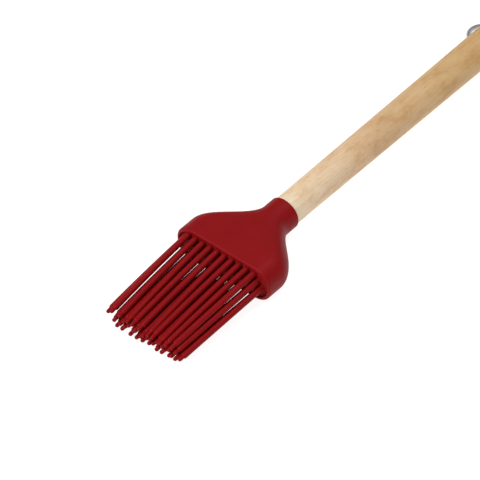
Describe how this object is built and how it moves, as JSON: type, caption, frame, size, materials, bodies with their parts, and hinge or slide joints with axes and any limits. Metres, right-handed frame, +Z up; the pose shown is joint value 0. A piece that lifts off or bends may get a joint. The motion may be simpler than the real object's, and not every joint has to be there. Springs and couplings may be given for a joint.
{
  "type": "pastry brush",
  "caption": "Pastry brush with a flared silicone head of round bristles, a turned wooden handle and a swinging steel hanging ring.",
  "frame": {"origin": "centre of the brush's footprint, on the surface it lies on, with its ring lying on that surface", "axes": "+Y along the handle from the bristles to the hanging ring, +Z up from the surface, +X across the flat of the head"},
  "size_m": [0.048, 0.2334, 0.0166],
  "materials": {
    "silicone": "satin",
    "birch": "satin",
    "steel": "polished",
    "nylon": "matte"
  },
  "bodies": {
    "brush": {"handle": "birch", "collar": "silicone", "core": "nylon", "bristle_comb_1": "silicone", "bristle_comb_2": "silicone", "bristle_comb_3": "silicone", "bristle_comb_4": "silicone"},
    "ring": {"hanging_ring": "steel"}
  },
  "joints": [
    {"name": "ring_swing", "type": "hinge", "parent": "brush", "child": "ring", "pos_m": [0, 0.09428, 0.0083], "axis": [1, 0, 0], "range_deg": [-139, 176]}
  ]
}
